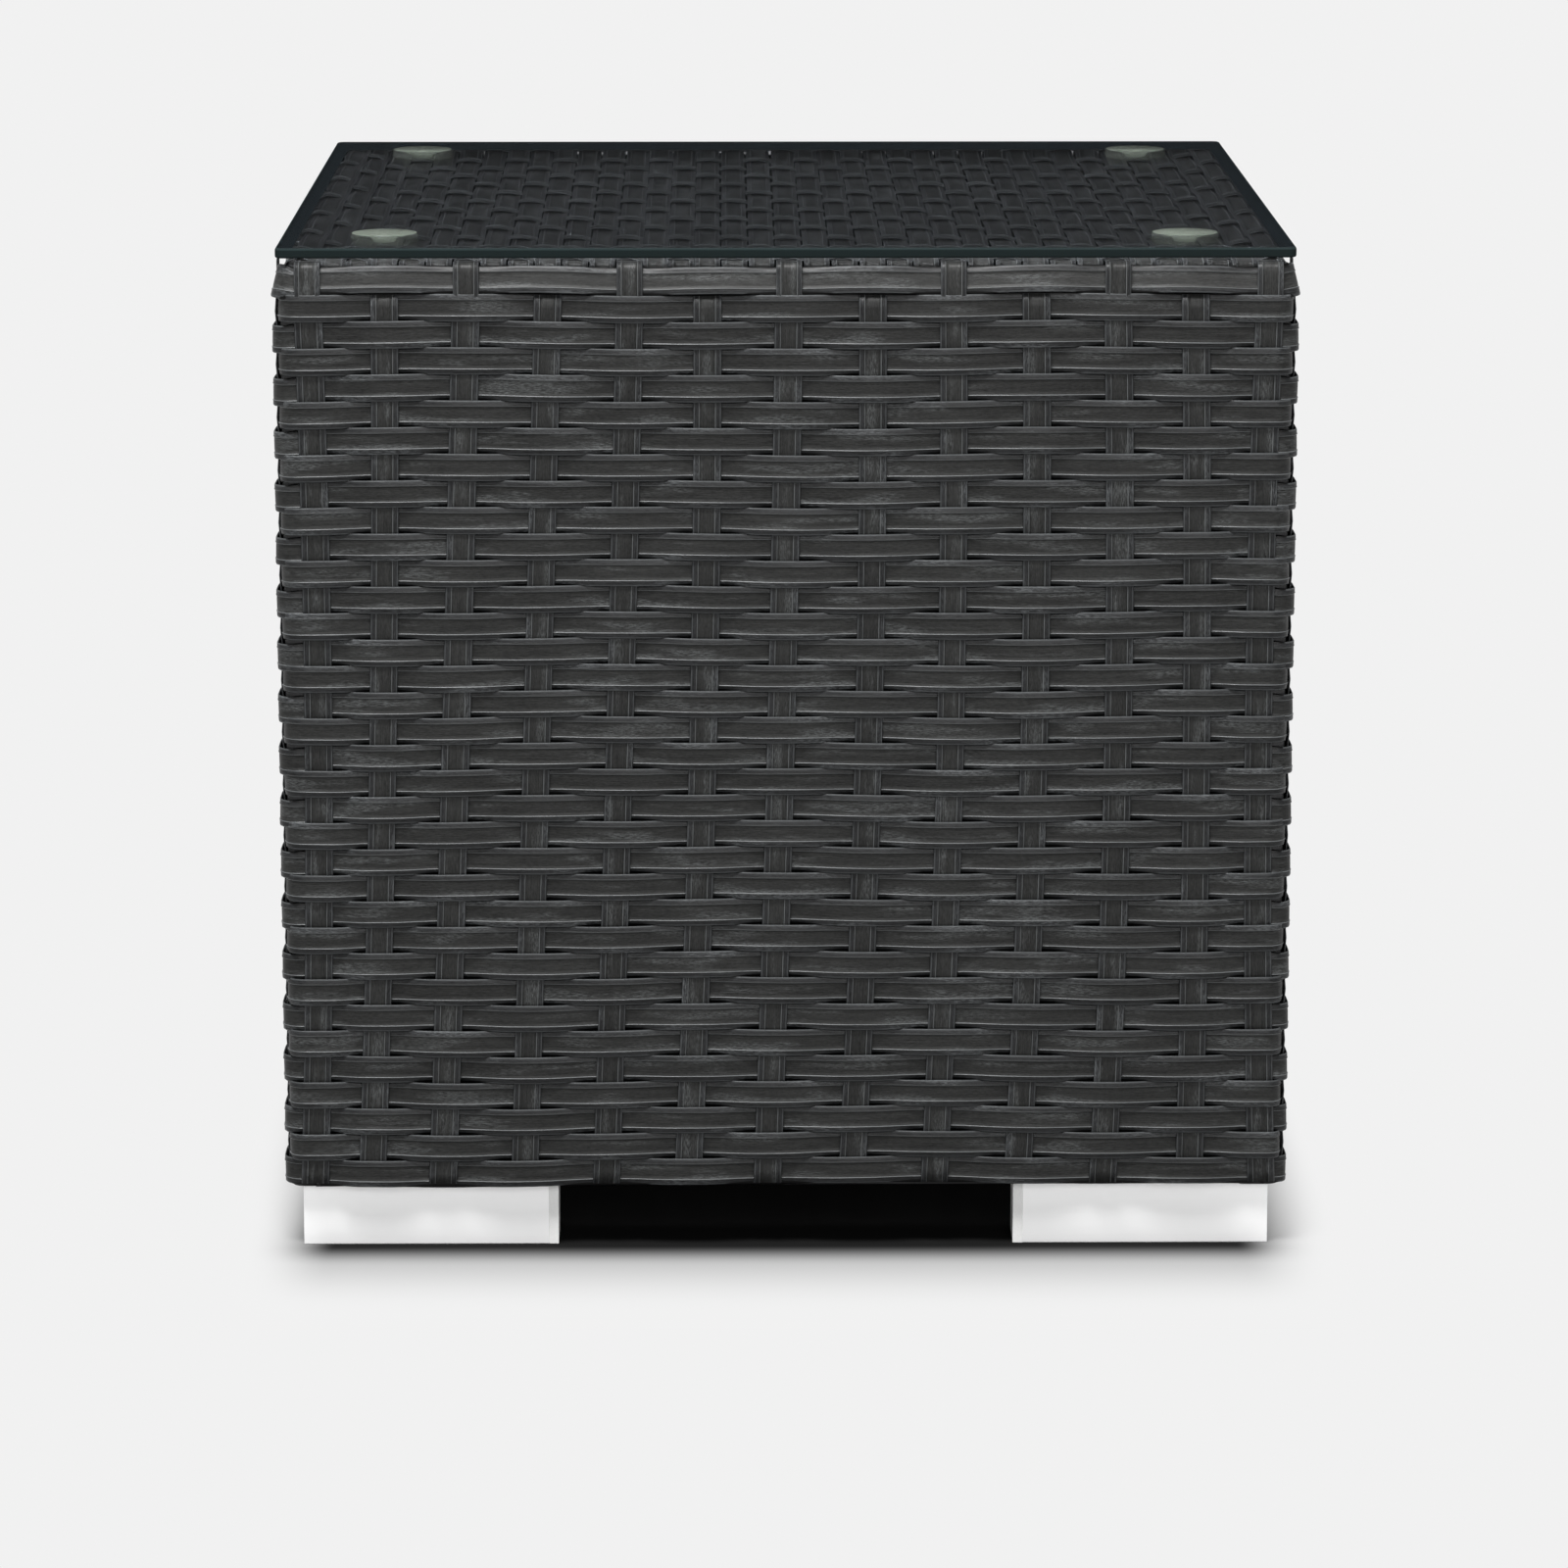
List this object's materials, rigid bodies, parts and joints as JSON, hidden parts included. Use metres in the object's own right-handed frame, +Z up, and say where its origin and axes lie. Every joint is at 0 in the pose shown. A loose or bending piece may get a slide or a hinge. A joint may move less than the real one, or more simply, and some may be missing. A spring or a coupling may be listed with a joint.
{
  "type": "propane tank cover table",
  "caption": "Cube side table of woven flat strand on a tube frame, open below to stand over a gas cylinder, with a lift-off smoked glass top and low metal corner feet.",
  "frame": {"origin": "centre of the table on the surface it stands on", "axes": "+Z up, -Y is the front face of the picture, +X to the right"},
  "size_m": [0.508, 0.508, 0.508],
  "materials": {
    "woven_strand": "dark grey flat synthetic strand with two ridges and a fine grain, satin",
    "frame_tube": "black powder coat",
    "foot_metal": "pale silver, fine satin",
    "foot_plug": "light grey moulded",
    "screw": "zinc plated",
    "clear_cup": "clear soft moulded",
    "smoked_glass": "dark smoked float glass with polished edges"
  },
  "bodies": {
    "root": {"front_rows": "woven_strand", "front_edge_row": "woven_strand", "front_stakes": "woven_strand", "right_rows": "woven_strand", "right_edge_row": "woven_strand", "right_stakes": "woven_strand", "back_rows": "woven_strand", "back_edge_row": "woven_strand", "back_stakes": "woven_strand", "left_rows": "woven_strand", "left_edge_row": "woven_strand", "left_stakes": "woven_strand", "top_long_strands": "woven_strand", "top_cross_strands": "woven_strand", "front_left_post": "frame_tube", "front_right_post": "frame_tube", "back_left_post": "frame_tube", "back_right_post": "frame_tube", "front_bottom_rail": "frame_tube", "front_top_rail": "frame_tube", "right_bottom_rail": "frame_tube", "right_top_rail": "frame_tube", "back_bottom_rail": "frame_tube", "back_top_rail": "frame_tube", "left_bottom_rail": "frame_tube", "left_top_rail": "frame_tube", "left_top_bar": "frame_tube", "right_top_bar": "frame_tube", "front_left_foot": "foot_metal", "front_left_foot_plugs": "foot_plug", "front_right_foot": "foot_metal", "front_right_foot_plugs": "foot_plug", "back_left_foot": "foot_metal", "back_left_foot_plugs": "foot_plug", "back_right_foot": "foot_metal", "back_right_foot_plugs": "foot_plug", "foot_screws": "screw", "glass_cups": "clear_cup"},
    "glass": {"glass_top": "smoked_glass"}
  },
  "joints": [
    {"name": "glass_lift", "type": "slide", "parent": "root", "child": "glass", "axis": [0, 0, 1], "range_m": [0, 0.1]}
  ]
}
